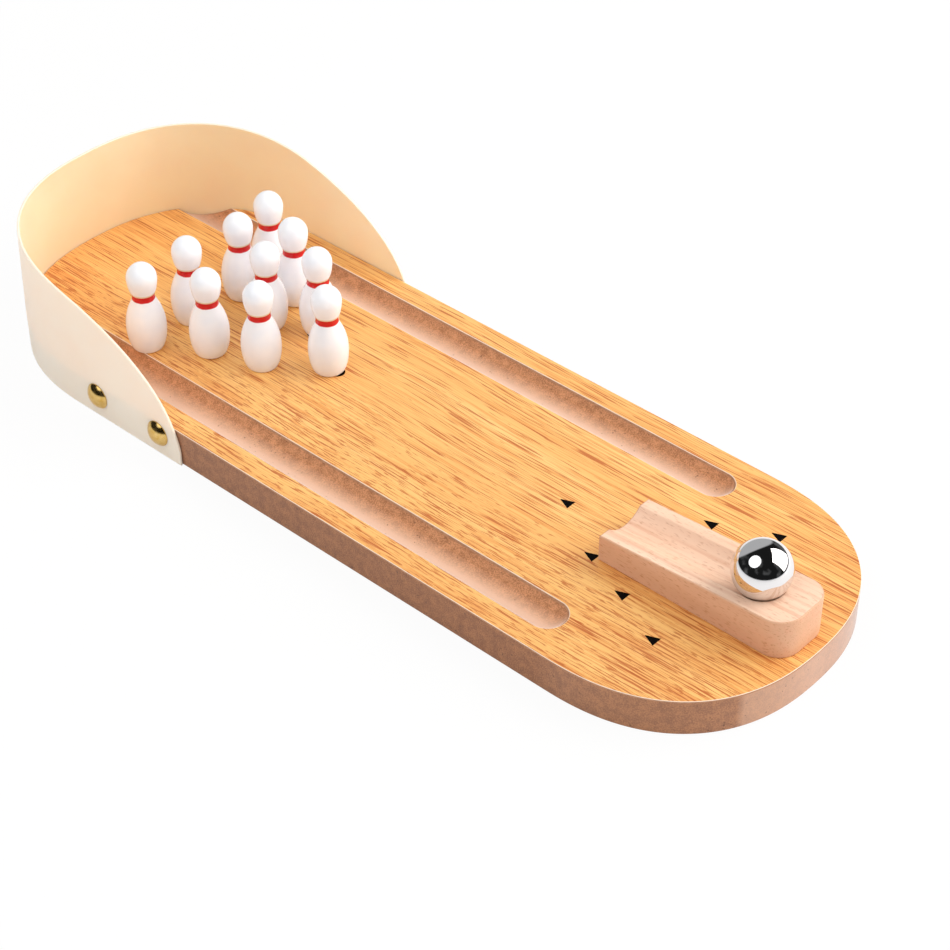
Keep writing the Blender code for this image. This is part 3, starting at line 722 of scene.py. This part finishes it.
# The ramp
# A loose block of steamed beech, sanded and left bare. Its top slopes down to the lane, and
# a round cutter has ploughed the ball's groove from a ball-shaped hollow out at the front.
ramp_low, ramp_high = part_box("launch_ramp")
RAMP_MIDDLE = (ramp_low.x + ramp_high.x) / 2
RAMP_FOOT = BOARD_TOP + 0.00002
RAMP_HALF = (ramp_high.x - ramp_low.x) / 2
RAMP_LENGTH = ramp_high.y - ramp_low.y
RAMP_REAR_HEIGHT = 0.0128
RAMP_FRONT_HEIGHT = 0.0087
RAMP_CORNER = 0.0070
RAMP_EASE = 0.0004
GROOVE_WIDTH = 0.0133
GROOVE_DEPTH = 0.0030
GROOVE_TOOL = ((GROOVE_WIDTH / 2) ** 2 + GROOVE_DEPTH ** 2) / (2 * GROOVE_DEPTH)
HOLLOW = 0.0158                  # from the ramp's rear to the middle of the ball's hollow
GROOVE_CREST = 0.00012           # how softly the groove's rim is rounded
RAMP_SLOPE = math.atan2(RAMP_REAR_HEIGHT - RAMP_FRONT_HEIGHT, RAMP_LENGTH)
BEECH_LAYERS = {"clouds": (0.0067, 0.0500, 0.0067), "lines": (0.0016, 0.0710, 0.0033),
                "dashes": (0.00038, 0.0024, 0.00038)}        # across, along and up the block
BEECH_RELIEF = 0.00004

# How fine the ramp's mesh is: columns from its middle out, rows from its rear to its front
FLAT_COLUMNS = 16
CORNER_COLUMNS = 49
REAR_SHARE = 0.42                # the share of its length, round the hollow, with finer rows
HOLLOW_ROWS = 90
FRONT_ROWS = 61


def ramp_grid(inset, top):
    """The ramp's top or bottom, columns across and rows from its rear to its front.

    A column starts on the rounded rear corner, corner - sqrt(corner^2 - out^2). The top's
    height is the slope's, less the groove, axis - sqrt(radius^2 - distance^2) round a line
    that ends in a ball. Where they meet, log(e^a + e^b) takes the place of the larger one.
    """
    corner = RAMP_CORNER - inset
    flat = RAMP_HALF - RAMP_CORNER
    right = np.concatenate([
        np.linspace(0, flat, FLAT_COLUMNS, endpoint=False),
        flat + corner * np.sin(np.linspace(0, math.pi / 2, CORNER_COLUMNS))])
    across = np.concatenate([-right[:0:-1], right])[:, None]
    out = np.maximum(np.abs(across) - flat, 0)
    rear = inset + corner - np.sqrt(np.maximum(corner ** 2 - out ** 2, 0))
    front = RAMP_LENGTH - inset
    steps = np.concatenate([np.linspace(0, REAR_SHARE, HOLLOW_ROWS, endpoint=False),
                            np.linspace(REAR_SHARE, 1, FRONT_ROWS)])
    along = rear + (front - rear) * steps
    height = np.zeros(along.shape)
    if top:
        distance = across ** 2 + np.minimum(along - HOLLOW, 0) ** 2
        rise = GROOVE_TOOL - GROOVE_DEPTH
        section = np.sqrt(np.maximum(GROOVE_TOOL ** 2 - distance, 0)) - rise
        groove = GROOVE_CREST * np.logaddexp(0, section / GROOVE_CREST)
        height = (RAMP_REAR_HEIGHT - along * math.tan(RAMP_SLOPE)
                  - groove / math.cos(RAMP_SLOPE))
    return np.stack([RAMP_MIDDLE + np.broadcast_to(across, along.shape), ramp_low.y + along,
                     RAMP_FOOT + height], -1)


def bare_beech(name, pale, tan, line_share, dash_share):
    """Steamed beech: pale pinkish tan, close and even, sanded silky but not lacquered.

    Growth lines 1.6 mm apart run along the block, and the dark lens-shaped dashes that mark
    beech are up to 0.4 mm wide and 2.4 mm long. The shares are how strongly each shows, more
    on the sawn faces than on the planed one.
    """
    material, tree, shader = new_material(name)
    place = add(tree, "TexCoord").outputs["Object"]
    layers = {}
    for layer, sizes in BEECH_LAYERS.items():
        drawn = add(tree, "Mapping", {"Vector": place, "Scale": [1 / size for size in sizes]})
        drawn = add(tree, "TexNoise", {"Vector": drawn.outputs[0], "Scale": 1.0,
                                       "Detail": 1.0 if layer == "dashes" else 2.0})
        layers[layer] = drawn.outputs["Fac"]
    ground = add(tree, "ValToRGB", {"Fac": layers["clouds"]},
                 stops=((0.3, tan), (0.7, pale)))
    lines = add(tree, "ValToRGB", {"Fac": layers["lines"]}, stops=(
        (0.50, 0.0), (0.70, line_share)))
    colour = add(tree, "Mix", {"Factor": lines.outputs["Color"], "A": ground.outputs["Color"],
                               "B": linear("#E3AC8A")}, data_type="RGBA")
    dashes = add(tree, "ValToRGB", {"Fac": layers["dashes"]}, stops=(
        (0.59, 0.0), (0.72, dash_share)))
    colour = add(tree, "Mix", {"Factor": dashes.outputs["Color"], "A": colour.outputs["Result"],
                               "B": linear("#C88E68")}, data_type="RGBA")
    bump = add(tree, "Bump", {"Height": layers["dashes"], "Strength": 0.2,
                              "Distance": -BEECH_RELIEF})
    tree.links.new(colour.outputs["Result"], shader.inputs["Base Color"])
    tree.links.new(bump.outputs["Normal"], shader.inputs["Normal"])
    shader.inputs["Roughness"].default_value = 0.6
    return material


beech_planed = bare_beech("beech_planed", "#FDD9BE", "#F4C9AB", 0.65, 0.45)
# The sawn sides, rear and bottom: stronger lines and dashes, and a darker tan that is partly
# painted shade
beech_sawn_and_shaded = bare_beech("beech_sawn_and_shaded", "#E6B694", "#DCAA86", 0.85, 0.90)
ramp = new_piece("ramp_block", *closed_sheet(
    ramp_grid(RAMP_EASE, top=True), ramp_grid(RAMP_EASE, top=False), ease=(RAMP_EASE,) * 2),
    (beech_planed, beech_sawn_and_shaded, beech_sawn_and_shaded))
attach(ramp, "ramp")
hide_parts("launch_ramp")

# The ball
# A steel ball 17 mm across, ground, polished and chromed. It waits in the hollow of the ramp
# and rolls down its groove.
BALL_RADIUS = 0.0085
BALL_SEAT = 0.00002
BALL_ROWS = 65
BALL_STEPS = 128
WIPES = (0.0011, 0.0083, 0.0011)         # a wipe mark's width, length and height
WIPE_TURN = (0.3, 0.8, 0.0)


def mirror_chrome():
    """Polished chrome: a cool mirror, with wipe marks that dull it only a little.

    Real ones are hairlines, and are drawn 1.1 mm wide and 8 mm long so that they show.
    """
    material, tree, shader = new_material("polished_chrome")
    place = add(tree, "TexCoord").outputs["Object"]
    wipes = add(tree, "Mapping", {"Vector": place, "Rotation": WIPE_TURN,
                                  "Scale": [1 / size for size in WIPES]})
    wipes = add(tree, "TexNoise", {"Vector": wipes.outputs[0], "Scale": 1.0, "Detail": 2.0})
    gloss = add(tree, "MapRange", {"Value": wipes.outputs["Fac"], "From Min": 0.3,
                                   "From Max": 0.7, "To Min": 0.02, "To Max": 0.06})
    tree.links.new(gloss.outputs[0], shader.inputs["Roughness"])
    shader.inputs["Base Color"].default_value = linear("#E4E4E6")
    shader.inputs["Metallic"].default_value = 1.0
    return material


ball_rise = BALL_RADIUS + BALL_SEAT - GROOVE_DEPTH
ball_middle = (RAMP_MIDDLE,
               ramp_low.y + HOLLOW + ball_rise * math.sin(RAMP_SLOPE),
               RAMP_FOOT + RAMP_REAR_HEIGHT - HOLLOW * math.tan(RAMP_SLOPE)
               + ball_rise * math.cos(RAMP_SLOPE))
latitudes = np.linspace(0, math.pi, BALL_ROWS)
ball_profile = BALL_RADIUS * np.stack([np.sin(latitudes), np.cos(latitudes)], -1)
points, groups = turned(ball_profile, BALL_STEPS)
ball = new_piece("chrome_ball", points + ball_middle, groups, (mirror_chrome(),) * 3,
                 level_normals=False)
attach(ball, "ball")
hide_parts("steel_ball")

# The studio
# A white floor and white surroundings, a large softbox at the front right and a round lamp
# over the -X side. A dark room with one pale wall, which only reflections see, gives the
# steel and the brass their depth.
FLOOR_HALF = 4.0
FLOOR_LEVEL = -0.00005
FLOOR_THICKNESS = 0.0020
FLOOR_STEPS = 9
PAPER_GLOW = 0.93                # how much of the floor, as the camera sees it, is plain white
ROOM_RADIUS = 2.5
ROOM_LOW = math.radians(1)
ROOM_ROWS = 24
ROOM_STEPS = 48
ROOM_WALL = (0.471, 0.809, 0.350)        # the way to its one pale wall
WALL_INSIDE = 0.80               # cosines of the angles from that way between which it ends
WALL_OUTSIDE = 0.72
HORIZON_LOW = 0.01               # sines of the heights between which the room grows dark
HORIZON_HIGH = 0.05
PALE_GLOW = 0.5                  # the strengths of its wall, of its darkness, and of the grey
DARK_GLOW = 0.012                # things that stand in it
THINGS_GLOW = 0.11
THINGS_SCALE = 1.7               # so many things to a length of 1 on the way's unit sphere
SOFT_LIGHT = 0.62                # the white surroundings' strength as a light
WHITE = (1.0, 1.0, 1.0, 1.0)

# The floor is matt white paper. The camera sees it as nearly plain white, with the shadow
floor_places = np.linspace(-FLOOR_HALF, FLOOR_HALF, FLOOR_STEPS)
floor_grid = np.dstack([*np.meshgrid(floor_places, floor_places, indexing="ij"),
                        np.full((FLOOR_STEPS, FLOOR_STEPS), FLOOR_LEVEL)])
white_floor, tree, shader = new_material("white_paper_floor")
shader.inputs["Base Color"].default_value = linear("#F4F4F4")
shader.inputs["Roughness"].default_value = 0.9
glow = add(tree, "Emission", {"Color": WHITE, "Strength": 1.0})
seen = add(tree, "LightPath")
share = add(tree, "Math", {0: seen.outputs["Is Camera Ray"], 1: PAPER_GLOW},
            operation="MULTIPLY")
paper = add(tree, "MixShader", {0: share.outputs[0], 1: shader.outputs[0], 2: glow.outputs[0]})
tree.links.new(paper.outputs[0], tree.nodes["Material Output"].inputs["Surface"])
floor = new_piece("studio_floor", *closed_sheet(
    floor_grid, floor_grid - (0, 0, FLOOR_THICKNESS)), (white_floor,) * 3, level_normals=False)

# The dark room is a dome, open below, that casts no shadow and that only reflections see
dark_room, tree, _ = new_material("dark_room")
way = add(tree, "VectorMath", {0: add(tree, "TexCoord").outputs["Object"]},
          operation="NORMALIZE").outputs[0]
facing = add(tree, "VectorMath", {0: way, 1: ROOM_WALL}, operation="DOT_PRODUCT")
facing = add(tree, "MapRange", {"Value": facing.outputs["Value"],
                                "From Min": WALL_INSIDE, "From Max": WALL_OUTSIDE},
             interpolation_type="SMOOTHSTEP")
height = add(tree, "SeparateXYZ", {"Vector": way}).outputs["Z"]
height = add(tree, "MapRange", {"Value": height, "From Min": HORIZON_LOW,
                                "From Max": HORIZON_HIGH}, interpolation_type="SMOOTHSTEP")
dark = add(tree, "Math", {0: facing.outputs[0], 1: height.outputs[0]}, operation="MULTIPLY")
things = add(tree, "TexNoise", {"Vector": way, "Scale": THINGS_SCALE, "Detail": 2.0})
things = add(tree, "MapRange", {"Value": things.outputs["Fac"], "From Min": 0.50,
                                "From Max": 0.68, "To Min": DARK_GLOW,
                                "To Max": THINGS_GLOW})
strength = add(tree, "MapRange", {"Value": dark.outputs[0], "To Min": PALE_GLOW,
                                  "To Max": things.outputs[0]})
room_glow = add(tree, "Emission", {"Color": WHITE, "Strength": strength.outputs[0]})
tree.links.new(room_glow.outputs[0], tree.nodes["Material Output"].inputs["Surface"])
climb = np.linspace(math.pi / 2, ROOM_LOW, ROOM_ROWS)
room_profile = ROOM_RADIUS * np.stack([np.cos(climb), np.sin(climb)], -1)
room_profile[0, 0] = 0
points, groups = turned(np.vstack([room_profile, (0, room_profile[-1, 1])]), ROOM_STEPS)
room = new_piece("dark_room", points, groups[:2], (dark_room,) * 2, level_normals=False)
room.visible_camera = False
room.visible_diffuse = False
room.visible_transmission = False
room.visible_shadow = False

# The surroundings are plain white to the camera, in mirrors and through glass, and softer as
# a light on the object
world = bpy.data.worlds.new("white_studio")
bpy.context.scene.world = world
world.use_nodes = True
tree = world.node_tree
backdrop = tree.nodes["Background"]
seen = add(tree, "LightPath")
direct = add(tree, "Math", {0: seen.outputs["Is Camera Ray"], 1: seen.outputs["Is Glossy Ray"]},
             operation="MAXIMUM")
direct = add(tree, "Math", {0: direct.outputs[0], 1: seen.outputs["Is Transmission Ray"]},
             operation="MAXIMUM")
level = add(tree, "MapRange", {"Value": direct.outputs[0], "To Min": SOFT_LIGHT,
                               "To Max": 1.0})
backdrop.inputs["Color"].default_value = WHITE
tree.links.new(level.outputs[0], backdrop.inputs["Strength"])

# Each lamp: shape, place, width, height, watts, colour; all face the middle of the board
LAMPS = {
    "side_softbox": ("RECTANGLE", (0.748, -0.673, 0.654), 1.20, 1.20, 14.6, "#FFF8F2"),
    "round_lamp": ("DISK", (-0.598, 0.131, 0.913), 0.88, 0.88, 3.0, "#FFFFFF"),
}
for name, (shape, place, width, height, watts, colour) in LAMPS.items():
    lamp = bpy.data.lights.new(name, "AREA")
    lamp.shape = shape
    lamp.size = width
    lamp.size_y = height
    lamp.energy = watts
    lamp.color = linear(colour)[:3]
    holder = bpy.data.objects.new(name, lamp)
    holder.location = place
    holder.rotation_euler = (-Vector(place)).to_track_quat("-Z", "Y").to_euler()
    bpy.context.scene.collection.objects.link(holder)

# The camera
# It stands 0.7 m off on the -X side of the player's end and looks down on the middle of the
# board. Its place and its long lens give the photo's own view.
CAMERA_PLACE = (-0.391455, -0.377160, 0.439466)
CAMERA_TARGET = (0.004243, -0.019986, 0.0)
CAMERA_LENS = 88.88
camera = bpy.data.cameras.new("camera")
camera.lens = CAMERA_LENS
holder = bpy.data.objects.new("camera", camera)
holder.location = CAMERA_PLACE
aim = Vector(CAMERA_TARGET) - Vector(CAMERA_PLACE)
holder.rotation_euler = aim.to_track_quat("-Z", "Y").to_euler()
bpy.context.scene.collection.objects.link(holder)
bpy.context.scene.camera = holder
bpy.context.scene.view_settings.view_transform = "Standard"
